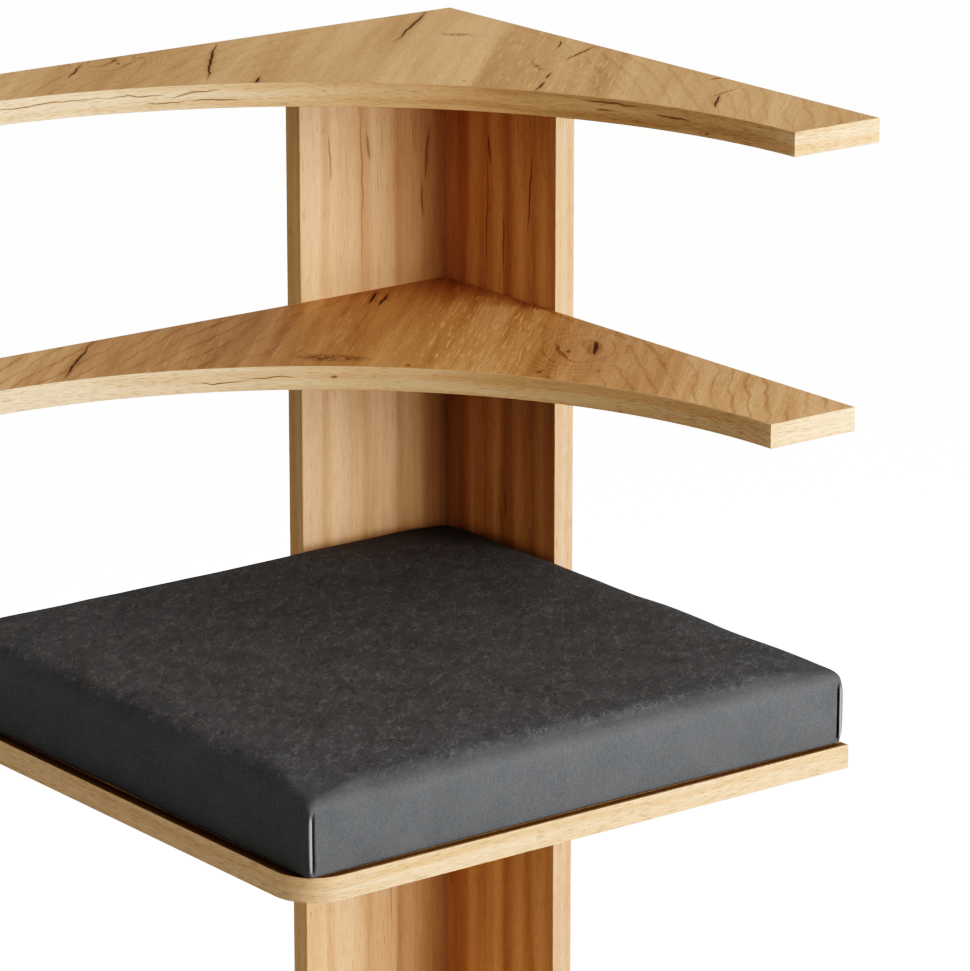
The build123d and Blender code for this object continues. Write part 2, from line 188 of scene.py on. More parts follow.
# ---------------------------------------------------------------- oak decor
OAK = {     # dark, middle, pale and light tone
    "shelf": [(0.29, 0.145, 0.058, 1), (0.43, 0.243, 0.108, 1),
              (0.50, 0.298, 0.140, 1), (0.60, 0.385, 0.198, 1)],
    "middle": [(0.22, 0.098, 0.036, 1), (0.37, 0.194, 0.081, 1),
               (0.45, 0.252, 0.113, 1), (0.57, 0.355, 0.183, 1)],
    "band": [(0.34, 0.195, 0.088, 1), (0.46, 0.283, 0.144, 1),
             (0.50, 0.342, 0.198, 1), (0.57, 0.428, 0.280, 1)],
    "edge": [(0.34, 0.190, 0.095, 1), (0.44, 0.265, 0.150, 1),
             (0.48, 0.315, 0.205, 1), (0.54, 0.390, 0.285, 1)],
    "left": [(0.33, 0.175, 0.085, 1), (0.47, 0.280, 0.152, 1),
             (0.55, 0.348, 0.205, 1), (0.64, 0.440, 0.280, 1)],
    "right": [(0.28, 0.135, 0.052, 1), (0.44, 0.235, 0.103, 1),
              (0.55, 0.318, 0.155, 1), (0.66, 0.415, 0.225, 1)],
}
TONE_PLACES = (0.0, 0.36, 0.64, 1.0)    # where those four tones lie
CRACK = (0.055, 0.022, 0.008, 1)
SHADED = (0.030, 0.010, 0.001, 1)
KNOT_SHADE, SPLIT_SHADE = 0.35, 0.55    # how dark knots and broken lines are, of the dark tone
FLECK_LIGHT = 1.22                      # and how light flecks are, of the light tone
WANDER, TEAR = 0.010, 0.005             # metres that the grain, and a crack's edge, swing across
LAMELLA, BROAD, FINE, TONE_SHIFT = 0.74, 0.22, 0.15, -0.19      # what makes up the tone
MIDDLE, MIDDLE_FIGURE = 0.22, 0.20
RINGS, CLOSE_RINGS = 560.0, 1130.0      # growth rings, in radians a metre
RING_DARKNESS, RING_WIDTH = 0.26, (0.45, 1.35)
HEART, HEART_FADE = 0.11, (0.02, 0.09)  # half width of the innermost ring, and where rings fade
KNOT_BEND, KNOT_REACH, KNOT_CORE, KNOT_EYE = 0.045, 3.4, (0.30, 0.16), 1.6
GRAIN_RELIEF = 0.00022
FLAT_SAWN = 0.1                         # boards whose rings open faster than this have loose figures


def stroke(s, u, v, mark):
    """A thin tapered line along the grain: 1 in its middle, 0 outside it."""
    at_u, at_v, reach, width, slope = mark
    along = s.times(s.math("SUBTRACT", u, at_u), 1 / reach)
    lean = s.math("MULTIPLY_ADD", along, -slope * reach, s.math("SUBTRACT", v, at_v))
    across = s.math("ABSOLUTE", s.times(lean, 1 / width))
    inside = s.math("SUBTRACT", s.math("MULTIPLY_ADD", along, s.times(along, -1.0), 1.0), across)
    return s.math("MULTIPLY", inside, 2.0, clamp=True)


def patch(s, u, v, spot):
    """A soft oval spot."""
    at_u, at_v, reach, width = spot
    a = s.times(s.math("SUBTRACT", u, at_u), 1 / reach)
    b = s.times(s.math("SUBTRACT", v, at_v), 1 / width)
    square = s.math("MULTIPLY_ADD", a, a, s.times(b, b))
    return s.ease(square, 0.0, 1.0, 1.0, 0.0)


def scaled(colour, factor):
    return [min(1.0, value * factor) for value in colour[:3]] + [1.0]


def grey_stops(pairs, shift=0.0):
    """Pairs of place and tone as the ends of their range and the stops of a ramp over it."""
    low, high = pairs[0][0], pairs[-1][0]
    return low, high, [((place - low) / (high - low), [shift + tone] * 3 + [1.0]) for place, tone in pairs]


def strongest(s, masks):
    result = masks[0]
    for mask in masks[1:]:
        result = s.math("MAXIMUM", result, mask)
    return result


def oak(name, grain, side, seed, tones, strips, cracks=(), spots=(), knots=(), flecks=(0.4, None),
        figure=0.5, painted_light_along_grain=None, splits=0.0, sweep=0.32, shade=None, clear=1.0, narrow=1.0):
    """Oak decor. grain and side are the directions along and across the grain. strips gives a tone
    from 0 to 1 at places across the grain, cracks and spots are dark marks, knots bend the figure
    round them, and flecks is the share of light dashes with the range across the grain where they
    are dense. figure is the strength of the growth rings, lengthways adds painted light and shade
    as a tone at places along the grain, splits is the share of broken dark lines, sweep is how
    fast the rings open along the grain, shade says where painted shade darkens it, clear is how
    clearly the cracks show, and narrow squeezes the grain for a narrow band."""
    s = Shader(name, Specular_IOR_Level=0.18)
    u, v = s.along(grain), s.along(side)
    drift = s.noise(s.vector(s.times(u, 5.0), s.times(v, 9.0), seed), detail=3.0)
    v = s.math("MULTIPLY_ADD", drift, WANDER, s.math("SUBTRACT", v, WANDER / 2))
    crooked = s.noise(s.vector(s.times(u, 45.0), s.times(v, 60.0), seed + 3.0), detail=2.0)
    torn = s.math("MULTIPLY_ADD", crooked, TEAR, s.math("SUBTRACT", v, TEAR / 2))

    def streaks(u_scale, v_scale, detail, offset, rough=0.5):
        place = s.vector(s.times(u, u_scale), s.times(v, v_scale * narrow), seed + offset)
        return s.noise(place, detail=detail, rough=rough)

    # lamellas across the grain, each with its own tone
    low, high, stops = grey_stops(strips)
    lamella = s.ramp(s.span(v, low, high), stops)
    broad = s.span(streaks(2.0, 26.0, 2.0, 11.0), 0.3, 0.7)
    middle = s.span(streaks(6.0, 85.0, 3.0, 23.0, 0.6), 0.28, 0.72)
    fine = s.span(streaks(14.0, 620.0, 3.0, 37.0, 0.65), 0.25, 0.75)
    tone = s.total(s.times(lamella, LAMELLA), s.times(broad, BROAD),
                   s.times(middle, MIDDLE_FIGURE * figure + MIDDLE), s.times(fine, FINE), TONE_SHIFT)

    # growth rings: hyperbolas along the grain, bent round the knots, closer together in places
    centre = s.math("SUBTRACT", v, (low + high) / 2)
    opening = s.math("MULTIPLY_ADD", u, sweep, HEART)
    ring = s.math("SQRT", s.math("MULTIPLY_ADD", centre, centre, s.times(opening, opening)))
    swing, tremble = (0.036, 0.006) if sweep > FLAT_SAWN else (0.012, 0.002)
    ring = s.math("MULTIPLY_ADD", drift, swing, ring)
    ring = s.math("MULTIPLY_ADD", crooked, tremble, ring)
    cores, eyes = [], []
    for at_u, at_v, reach, width in knots:
        near = patch(s, u, v, (at_u, at_v, reach * KNOT_REACH, width * KNOT_REACH))
        ring = s.math("MULTIPLY_ADD", near, KNOT_BEND, ring)
        cores.append(patch(s, u, torn, (at_u, at_v, reach * KNOT_CORE[0], width * KNOT_CORE[1])))
        eyes.append(patch(s, u, v, (at_u, at_v, reach * KNOT_EYE, width * KNOT_EYE)))
    wave = s.total(s.math("SINE", s.times(ring, RINGS)),
                   s.times(s.math("SINE", s.times(ring, CLOSE_RINGS)), 0.45))
    broken = s.times(s.ease(streaks(4.0, 40.0, 2.0, 91.0), 0.22, 0.56),
                     s.ease(s.math("ABSOLUTE", centre), *HEART_FADE))
    if eyes:
        broken = s.math("MAXIMUM", broken, s.times(strongest(s, eyes), 1.8))
    late = s.times(s.ease(wave, *RING_WIDTH), broken)
    tone = s.math("MULTIPLY_ADD", late, -RING_DARKNESS * figure, tone)
    # painted light and shade: a tone added at places along the grain
    if painted_light_along_grain:
        first, last, steps = grey_stops(painted_light_along_grain, shift=0.5)
        tone = s.total(tone, s.ramp(s.span(u, first, last), steps), -0.5)
    dark, light = tones[0], tones[-1]
    colour = s.ramp(tone, list(zip(TONE_PLACES, tones)), smooth=False)

    # pores and medullary flecks
    pores = s.ease(streaks(85.0, 2100.0, 1.0, 51.0), 0.60, 0.72)
    colour = s.mix(s.times(pores, 0.28), colour, dark)
    share, reach = flecks
    dashes = s.ease(streaks(40.0, 520.0, 1.0, 67.0), 0.58, 0.68)
    where = s.ease(streaks(9.0, 30.0, 2.0, 71.0), 0.42, 0.60)
    if reach:
        dense = s.times(s.ease(v, reach[0], reach[0] + 0.02), s.ease(v, reach[1] - 0.01, reach[1], 1.0, 0.0))
        where = s.math("MAXIMUM", s.times(where, 0.4), dense)
    dashes = s.times(dashes, where, share)
    colour = s.mix(dashes, colour, scaled(light, FLECK_LIGHT))

    # knots, dark spots and cracks
    depth = s.times(pores, 0.5)
    if cores:
        core = strongest(s, cores)
        colour = s.mix(s.times(core, 0.75), colour, scaled(dark, KNOT_SHADE))
    if splits:
        hair = s.ease(streaks(11.0, 420.0, 1.0, 83.0), 0.66, 0.74)
        hair = s.times(hair, s.ease(streaks(7.0, 20.0, 1.0, 89.0), 0.48, 0.60), splits)
        colour = s.mix(hair, colour, scaled(dark, SPLIT_SHADE))
    if spots:
        cloud = s.ease(s.noise(s.place, 260.0, 3.0), 0.30, 0.62)
        stain = s.times(strongest(s, [patch(s, u, torn, spot) for spot in spots]), cloud)
        colour = s.mix(s.times(stain, 0.75), colour, scaled(dark, KNOT_SHADE))
    if cracks:
        crack = strongest(s, [stroke(s, u, torn, mark) for mark in cracks])
        halo = strongest(s, [stroke(s, u, torn, (at_u, at_v, reach * 1.15, width * 3.2, slope))
                             for at_u, at_v, reach, width, slope in cracks])
        colour = s.mix(s.times(halo, 0.45 * clear), colour, dark)
        colour = s.mix(s.times(crack, 0.92 * clear), colour, CRACK)
        depth = s.math("MAXIMUM", depth, crack)
    if shade:
        colour = s.mix(shade(s), colour, SHADED)
    s.colour(colour)
    s.roughness(s.total(s.times(fine, 0.10), s.times(late, 0.06), s.times(depth, 0.2), 0.44))
    relief = s.total(s.times(fine, 0.6), s.times(middle, 0.3), s.times(depth, -1.4))
    s.bump(relief, GRAIN_RELIEF)
    return s.material


# ---------------------------------------------------------------- small parts
def speckled(name, tint, dark, scale, rough=(0.4, 0.6), depth=0.0001, **constants):
    """Plastic or metal: two close colours in fine speckles, with a fine relief."""
    s = Shader(name, **constants)
    grain = s.noise(s.place, scale, 3.0, 0.6)
    cloud = s.noise(s.place, scale * 0.13, 2.0)
    s.colour(s.mix(s.ease(s.total(s.times(grain, 0.6), s.times(cloud, 0.4)), 0.3, 0.7), dark, tint))
    s.roughness(s.span(grain, 0.3, 0.7, *rough))
    s.bump(grain, depth)
    return s.material


def beech(name):
    """Pale wood of the dowels, with its fibres upright."""
    s = Shader(name, Specular_IOR_Level=0.3)
    x = s.along((1, 1, 0))
    fibre = s.noise(s.vector(s.times(x, 400.0), s.times(s.along((0, 0, 1)), 60.0)), detail=3.0)
    s.colour(s.ramp(fibre, [(0.3, srgb(186, 146, 104)), (0.7, srgb(226, 192, 150))]))
    s.roughness(s.span(fibre, 0.3, 0.7, 0.6, 0.75))
    s.bump(fibre, 0.0002)
    return s.material


def hooks(name):
    """Hook-and-loop tape: rows of tiny hooks over a woven ground."""
    s = Shader(name, Specular_IOR_Level=0.3)
    cells = s.add("TexVoronoi", {"Vector": s.place, "Scale": 900.0, "Randomness": 0.45}).outputs["Distance"]
    tuft = s.noise(s.place, 1500.0, 2.0)
    height = s.math("SUBTRACT", s.times(tuft, 0.5), cells)
    s.colour(s.ramp(s.total(height, 0.6), [(0.0, srgb(14, 14, 15)), (1.0, srgb(58, 58, 60))]))
    s.roughness(s.span(tuft, 0.3, 0.7, 0.7, 0.9))
    s.bump(height, 0.0006)
    return s.material


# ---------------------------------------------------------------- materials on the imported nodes
DIAGONAL = math.sqrt(0.5)
ALONG_DIAGONAL = (-DIAGONAL, DIAGONAL, 0.0)
ACROSS_DIAGONAL = (DIAGONAL, DIAGONAL, 0.0)
ALONG_EDGE = (1.0, 1.0, 0.0)            # runs along every band, because each lies along X or Y
VERTICAL = (0.0, 0.0, 1.0)


def beside_cushion(s):
    """How dark the seat's strip round the cushion is, which lies in its shade."""
    x, y = s.along((1, 0, 0)), s.along((0, 1, 0))
    low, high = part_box("cushion_cover")
    sides = []
    for out, reach, nearest, farthest in ((s.math("SUBTRACT", x, high.x), 0.006, 0.85, 0.35),
                                          (s.math("SUBTRACT", low.y, y), 0.008, 0.95, 0.70)):
        sides.append(s.times(s.ease(out, -0.003, -0.001), s.ease(out, 0.0, reach, nearest, farthest)))
    return strongest(s, sides)


top_oak = oak(
    "oak_top", ALONG_DIAGONAL, ACROSS_DIAGONAL, 2.0, OAK["shelf"],
    [(-0.32, 0.95), (-0.245, 0.8), (-0.215, 0.5), (-0.18, 0.3), (-0.135, 0.5), (-0.125, 0.75),
     (-0.105, 0.8), (-0.09, 0.45), (-0.07, 0.8), (-0.02, 0.62), (-0.012, 0.95), (0.045, 0.95),
     (0.053, 0.35), (0.10, 0.55), (0.138, 0.30), (0.146, 0.8), (0.20, 0.6), (0.24, 0.75), (0.32, 0.6)],
    cracks=[(0.116, -0.130, 0.064, 0.0014, -0.14), (0.072, -0.213, 0.026, 0.0008, 0.0),
            (0.060, -0.091, 0.013, 0.0013, 0.0), (0.250, -0.017, 0.060, 0.0011, 0.05),
            (0.174, 0.108, 0.026, 0.0009, 0.3), (0.100, 0.096, 0.012, 0.0008, 0.0),
            (0.066, 0.094, 0.018, 0.0011, 0.1), (0.035, 0.212, 0.022, 0.0011, 0.0),
            (0.062, 0.214, 0.016, 0.0006, 0.5), (0.106, 0.206, 0.006, 0.0012, 0.9),
            (0.200, 0.090, 0.016, 0.0005, 0.0)],
    spots=[(0.225, 0.018, 0.006, 0.016), (0.120, -0.180, 0.004, 0.003), (0.108, -0.194, 0.005, 0.003),
           (0.076, 0.042, 0.003, 0.002)],
    knots=[(0.10, -0.19, 0.016, 0.010), (0.13, 0.085, 0.018, 0.010)],
    flecks=(0.35, (0.03, 0.16)), figure=1.0)
mid_oak = oak(
    "oak_middle", ALONG_DIAGONAL, ACROSS_DIAGONAL, 7.0, OAK["middle"],
    [(-0.32, 1.0), (-0.25, 0.9), (-0.207, 0.55), (-0.16, 0.5), (-0.12, 0.12), (-0.09, 0.4),
     (-0.045, 0.25), (0.0, 0.55), (0.05, 0.7), (0.085, 0.6), (0.090, 0.35), (0.14, 0.45),
     (0.20, 0.75), (0.32, 1.0)],
    cracks=[(0.033, -0.206, 0.050, 0.0010, 0.0), (0.229, -0.043, 0.020, 0.0013, 0.0),
            (0.224, -0.034, 0.020, 0.0012, 0.08), (0.114, 0.125, 0.020, 0.0020, -0.1)],
    spots=[(0.065, -0.043, 0.012, 0.030), (0.084, 0.134, 0.006, 0.004), (0.056, 0.135, 0.006, 0.003),
           (0.035, 0.105, 0.005, 0.003), (0.048, 0.096, 0.006, 0.003), (0.053, 0.008, 0.004, 0.003)],
    knots=[(0.103, 0.109, 0.020, 0.012)], flecks=(0.75, (0.0, 0.088)), figure=1.6)
PLAIN_STRIPS = [(-0.32, 0.6), (-0.2, 0.4), (-0.12, 0.7), (-0.04, 0.5), (0.04, 0.75), (0.13, 0.45),
                (0.32, 0.65)]
seat_oak = oak("oak_seat", ALONG_DIAGONAL, ACROSS_DIAGONAL, 13.0, OAK["shelf"], PLAIN_STRIPS,
               shade=beside_cushion)
square_oak = oak("oak_square", ALONG_DIAGONAL, ACROSS_DIAGONAL, 13.0, OAK["shelf"], PLAIN_STRIPS,
                 cracks=[(0.05, 0.10, 0.04, 0.0014, 0.0), (-0.10, -0.12, 0.05, 0.0014, 0.1)],
                 knots=[(-0.05, 0.14, 0.018, 0.010)])

# painted light and shade: the bands are painted lighter on the left, where the key light falls on them, than on
# the right, as in the photo
BAND_PAINTED_LIGHT = [(-0.45, 0.15), (-0.30, 0.45), (-0.20, 0.20), (-0.10, 0.0), (0.0, -0.14), (0.12, -0.34),
              (0.34, -0.28), (0.385, 0.05), (0.45, 0.15)]
BAND_FLECKS, COLUMN_FLECKS = (0.12, None), (0.1, None)
BAND_NARROW, COLUMN_SWEEP = 3.0, 0.04
top_band = oak(
    "oak_band_top", ALONG_EDGE, VERTICAL, 17.0, OAK["band"],
    [(0.834, 0.6), (0.839, 0.4), (0.845, 0.7), (0.850, 0.5)],
    cracks=[(-0.310, 0.8446, 0.060, 0.00040, 0.003), (-0.232, 0.8452, 0.028, 0.00035, 0.01),
            (-0.181, 0.8456, 0.023, 0.00045, 0.10), (-0.205, 0.8404, 0.020, 0.00035, 0.0),
            (-0.162, 0.8408, 0.026, 0.00040, 0.02), (0.203, 0.8484, 0.032, 0.00060, 0.01),
            (0.198, 0.8432, 0.009, 0.00035, 0.0), (0.262, 0.8446, 0.019, 0.00060, -0.07)],
    spots=[(0.293, 0.8366, 0.006, 0.0022)], flecks=BAND_FLECKS, figure=0.5, painted_light_along_grain=BAND_PAINTED_LIGHT,
    splits=0.35, clear=0.75, narrow=BAND_NARROW)
mid_band = oak(
    "oak_band_middle", ALONG_EDGE, VERTICAL, 19.0, OAK["band"],
    [(0.648, 0.7), (0.653, 0.85), (0.659, 0.6), (0.664, 0.8)],
    cracks=[(-0.155, 0.6548, 0.026, 0.0003, 0.0), (-0.112, 0.6568, 0.026, 0.0003, 0.02)],
    spots=[(-0.054, 0.6568, 0.0042, 0.0015)], knots=[(-0.054, 0.6568, 0.012, 0.004)],
    flecks=BAND_FLECKS, figure=0.9, painted_light_along_grain=BAND_PAINTED_LIGHT, splits=0.25, narrow=BAND_NARROW)
seat_band = oak(
    "oak_band_seat", ALONG_EDGE, VERTICAL, 29.0, OAK["band"],
    [(0.421, 0.6), (0.427, 0.8), (0.432, 0.55), (0.437, 0.7)],
    flecks=BAND_FLECKS, figure=0.7, splits=0.2, narrow=BAND_NARROW)
base_band = oak(
    "oak_band_base", ALONG_EDGE, VERTICAL, 31.0, OAK["band"],
    [(0.005, 0.6), (0.011, 0.8), (0.021, 0.6)], narrow=BAND_NARROW)

left_oak = oak(
    "oak_left", VERTICAL, (0.0, 1.0, 0.0), 41.0, OAK["left"],
    [(0.08, 0.75), (0.10, 0.7), (0.104, 0.35), (0.114, 0.8), (0.133, 0.7), (0.139, 0.35), (0.150, 0.75),
     (0.163, 0.65), (0.168, 0.25), (0.180, 0.55), (0.192, 0.3), (0.209, 0.45)],
    cracks=[(0.735, 0.1375, 0.070, 0.0003, 0.007), (0.765, 0.1435, 0.012, 0.0011, -0.10),
            (0.754, 0.1940, 0.022, 0.0014, 0.10), (0.722, 0.1900, 0.014, 0.0009, 0.0),
            (0.762, 0.1100, 0.018, 0.0005, -0.08), (0.300, 0.1500, 0.020, 0.0010, 0.05)],
    flecks=COLUMN_FLECKS, figure=0.6, splits=0.45, sweep=COLUMN_SWEEP, clear=0.42)
right_oak = oak(
    "oak_right", VERTICAL, (1.0, 0.0, 0.0), 43.0, OAK["right"],
    [(-0.225, 0.3), (-0.205, 0.5), (-0.190, 0.15), (-0.178, 0.6), (-0.163, 0.35), (-0.150, 0.75),
     (-0.140, 0.2), (-0.125, 0.6), (-0.112, 0.3), (-0.10, 0.55), (-0.085, 0.35)],
    cracks=[(0.764, -0.1590, 0.011, 0.0010, -0.12), (0.720, -0.1625, 0.045, 0.0004, 0.02),
            (0.740, -0.1140, 0.030, 0.0008, 0.12), (0.340, -0.1300, 0.025, 0.0009, 0.05)],
    flecks=COLUMN_FLECKS, figure=0.6, splits=0.8, sweep=COLUMN_SWEEP, clear=0.6,
    # painted shade and light: the right board is darker between the seat and the middle shelf and lighter below
    # the seat
    painted_light_along_grain=[(0.0, 0.10), (0.42, 0.10), (0.45, -0.10), (0.64, -0.10), (0.67, 0.0), (0.85, 0.0)])
left_edge = oak(
    "oak_band_left", VERTICAL, (1.0, 0.0, 0.0), 47.0, OAK["band"],
    [(-0.225, 0.60), (-0.219, 0.45), (-0.213, 0.70), (-0.209, 0.5)],
    flecks=COLUMN_FLECKS, figure=0.2, sweep=COLUMN_SWEEP)
right_edge = oak(
    "oak_band_right", VERTICAL, (0.0, 1.0, 0.0), 53.0, OAK["edge"],
    [(0.209, 0.55), (0.213, 0.35), (0.217, 0.6), (0.221, 0.3), (0.225, 0.6)],
    flecks=COLUMN_FLECKS, figure=0.2, sweep=COLUMN_SWEEP)

zinc = speckled("zinc", srgb(200, 202, 206), srgb(150, 153, 160), 900.0, (0.28, 0.45), 0.00003, Metallic=1.0)
zinc_plate = speckled("zinc_plate", srgb(196, 198, 202), srgb(140, 144, 152), 320.0, (0.30, 0.5), 0.00004,
                      Metallic=1.0)
cap_plastic = speckled("cap_plastic", srgb(196, 158, 112), srgb(176, 136, 92), 1400.0, (0.45, 0.6), 0.00006)
glide_plastic = speckled("glide_plastic", srgb(60, 46, 36), srgb(38, 28, 22), 1600.0, (0.4, 0.6), 0.00008)
dowel_wood = beech("beech")
tape = hooks("hook_and_loop")

MATERIALS = {
    "top_shelf_board": top_oak, "mid_shelf_board": mid_oak, "seat_board": seat_oak, "base_board": square_oak,
    "top_shelf_front_band": top_band, "top_shelf_tip_bands": top_band, "top_shelf_back_bands": top_band,
    "mid_shelf_front_band": mid_band, "mid_shelf_tip_bands": mid_band, "mid_shelf_back_bands": mid_band,
    "seat_front_band": seat_band, "seat_back_bands": seat_band,
    "base_front_band": base_band, "base_back_bands": base_band,
    "column_left_board": left_oak, "column_right_board": right_oak,
    "column_left_front_band": left_edge, "column_right_front_band": right_edge,
    "column_back_band": right_edge,
    "base_glides": glide_plastic,
    "seat_hook_pads": tape, "cushion_loop_pads": tape,
    "seat_bracket_left": zinc_plate, "seat_bracket_right": zinc_plate,
    "wall_bracket_left": zinc_plate, "wall_bracket_right": zinc_plate,
}
BY_ENDING = {"dowels": dowel_wood, "caps": cap_plastic, "screws": zinc, "cams": zinc, "bolts": zinc,
             "nails": zinc}
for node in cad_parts:
    if node in MATERIALS:
        wear(node, MATERIALS[node])
    else:
        for ending, material in BY_ENDING.items():
            if node.endswith(ending):
                wear(node, material)

# ---------------------------------------------------------------- cushion
cover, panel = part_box("cushion_cover"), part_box("cushion_bottom_panel")
seat_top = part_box("seat_board")[1].z
MIDDLE_X, MIDDLE_Y = (cover[0].x + cover[1].x) / 2, (cover[0].y + cover[1].y) / 2
SIDE = (cover[1].x - cover[0].x) / 2 - 0.0004               # half its side before it is stuffed
FLOOR = panel[0].z                      # underside, over the hook-and-loop pads
ROOF = cover[1].z - 0.0016              # upper face before it is stuffed
EDGE, RIM = 0.016, 0.0016               # roundings of the upper and lower edges
CORNER_EDGE = 0.40                      # share of the upper rounding that is left at the corners
CORNER_DROP, CORNER_REACH = 0.0060, 0.05    # how far the corners hang, and from how far in
CORNER, CORNER_GROWS = 0.0034, 0.45     # rounding in plan, and how it grows up the upper edge
NEAR_CORNER = (0.80, 0.98)              # a corner begins and is full at these shares of the side
EIGHTH = math.pi / 4
BLANK = SIDE - EDGE + EDGE * EIGHTH     # half the side of the box that is bent into the form
UPRIGHT = ROOF - FLOOR - EDGE - RIM + (EDGE + RIM) * EIGHTH
PADS_REACH = 0.165                      # the underside is level this far from the middle
OVER_SEAT = 0.0003                      # room between the cushion's rim and the seat
UNDERSIDE, RIM_HANGS = 0.02, 0.25       # shares of its height
DROOP = FLOOR - seat_top - OVER_SEAT    # beyond the pads the rim hangs this far
SIDE_FACE = 0.004                       # points this near to the side's plane are on the side
SEAM_FROM_EDGE, SEAM_TOP, SEAM_DEPTH, SEAM_WIDTH = 0.0034, 0.042, 0.0020, 0.0007
LIP_AT, LIP_WIDTH, OUTER_LIP, INNER_LIP = 0.0017, 0.0010, 0.0019, 0.0006
CROWN, PULL_IN, PULL_REACH, BELLY = 0.0012, 0.0012, 0.03, 0.0011
FINE_FOLD, BROAD_FOLD = 0.0005, 0.0008
SWELL = 0.0030                          # most that a point moves as the cushion is stuffed
VOXEL, PRESSURE, FRAMES = 0.0055, 4.0, 20


def places(coarse, fine, near):
    """Lines across the blank: coarse apart in the middle, fine apart near both edges."""
    edge = [BLANK - fine * k for k in range(int(near / fine) + 1)]
    count = math.ceil(edge[-1] / coarse)
    inner = [edge[-1] * (count - k) / count for k in range(1, count)]
    half = edge + inner
    return [-place for place in half] + [0.0] + half[::-1]


def heights():
    """Lines up the blank, close together on both roundings."""
    lower = [RIM * EIGHTH * k / 5 for k in range(5)]
    upper = [UPRIGHT - EDGE * EIGHTH * k / 12 for k in range(12)]
    straight = UPRIGHT - (EDGE + RIM) * EIGHTH
    return lower + [RIM * EIGHTH + straight * k / 20 for k in range(21)] + upper[::-1]


def formed(x, y, z, face_up):
    """Bends a point of the blank into the form. Also gives the height, the half size of the point's
    ring and its rounding in plan."""
    ring = max(abs(x), abs(y), 1e-6)
    near = clamped((min(abs(x), abs(y)) / ring - NEAR_CORNER[0]) / (NEAR_CORNER[1] - NEAR_CORNER[0]))
    near *= near * (3 - 2 * near)
    upper = EDGE * (1 - (1 - CORNER_EDGE) * near)
    if face_up or z <= 0.0:
        radius = upper if face_up else RIM
        flat = BLANK - radius * EIGHTH
        turn = max(ring - flat, 0.0) / radius
        half = min(ring, flat) * (SIDE - radius) / flat + radius * math.sin(turn)
        drop = radius * (1 - math.cos(turn))
        height = ROOF - drop if face_up else FLOOR + drop
    else:
        ring = BLANK
        if z < RIM * EIGHTH:
            turn = EIGHTH + z / RIM
            half, height = SIDE - RIM * (1 - math.sin(turn)), FLOOR + RIM * (1 - math.cos(turn))
        elif UPRIGHT - z < upper * EIGHTH:
            turn = EIGHTH + (UPRIGHT - z) / upper
            half, height = SIDE - upper * (1 - math.sin(turn)), ROOF - upper * (1 - math.cos(turn))
        else:
            share = (z - RIM * EIGHTH) / (UPRIGHT - (upper + RIM) * EIGHTH)
            half, height = SIDE, FLOOR + RIM + share * (ROOF - FLOOR - upper - RIM)
    reach = clamped((half - SIDE + CORNER_REACH) / CORNER_REACH)
    tall = clamped((height - FLOOR) / (ROOF - FLOOR))
    height -= CORNER_DROP * near * reach * reach * tall
    radius = CORNER + CORNER_GROWS * (SIDE - half) * (1.0 if height > FLOOR + 2 * RIM else 0.0)
    radius *= min(max((half - SIDE + 0.045) / 0.025, 0.05), 1.0)
    return x * half / ring, y * half / ring, height, half, radius


def turned(x, y, half, radius):
    """Rounds the corner of a ring. Also gives the outward direction there."""
    start = half - radius
    a, b = abs(x) - start, abs(y) - start
    if a <= 0 or b <= 0:
        out = (math.copysign(1, x), 0.0) if abs(x) > abs(y) else (0.0, math.copysign(1, y))
        return x, y, out
    length = math.hypot(a, b)
    scale = max(a, b) / length
    out = (math.copysign(a / length, x), math.copysign(b / length, y))
    return math.copysign(start + a * scale, x), math.copysign(start + b * scale, y), out


def blank_mesh(name, across, up):
    """The cushion's closed form over a grid of lines, with the outward direction of each point."""
    last, top = len(across) - 1, len(up) - 1
    points, outward, number = [], [], {}
    for k, z in enumerate(up):
        for i, x in enumerate(across):
            for j, y in enumerate(across):
                if k in (0, top) or i in (0, last) or j in (0, last):
                    px, py, height, half, radius = formed(x, y, z, k == top)
                    px, py, out = turned(px, py, half, radius)
                    number[i, j, k] = len(points)
                    points.append(Vector((px + MIDDLE_X, py + MIDDLE_Y, height)))
                    outward.append(out)
    faces = []
    for a in range(last):
        for b in range(last):
            faces.append([(a, b, top), (a + 1, b, top), (a + 1, b + 1, top), (a, b + 1, top)])
            faces.append([(a, b, 0), (a, b + 1, 0), (a + 1, b + 1, 0), (a + 1, b, 0)])
        for k in range(top):
            faces.append([(a, 0, k), (a + 1, 0, k), (a + 1, 0, k + 1), (a, 0, k + 1)])
            faces.append([(a, last, k), (a, last, k + 1), (a + 1, last, k + 1), (a + 1, last, k)])
            faces.append([(0, a, k), (0, a, k + 1), (0, a + 1, k + 1), (0, a + 1, k)])
            faces.append([(last, a, k), (last, a + 1, k), (last, a + 1, k + 1), (last, a, k + 1)])
    mesh = bpy.data.meshes.new(name)
    mesh.from_pydata(points, [], [[number[place] for place in face] for face in faces])
    piece = bpy.data.objects.new(name, mesh)
    into_scene(piece)
    return piece, outward


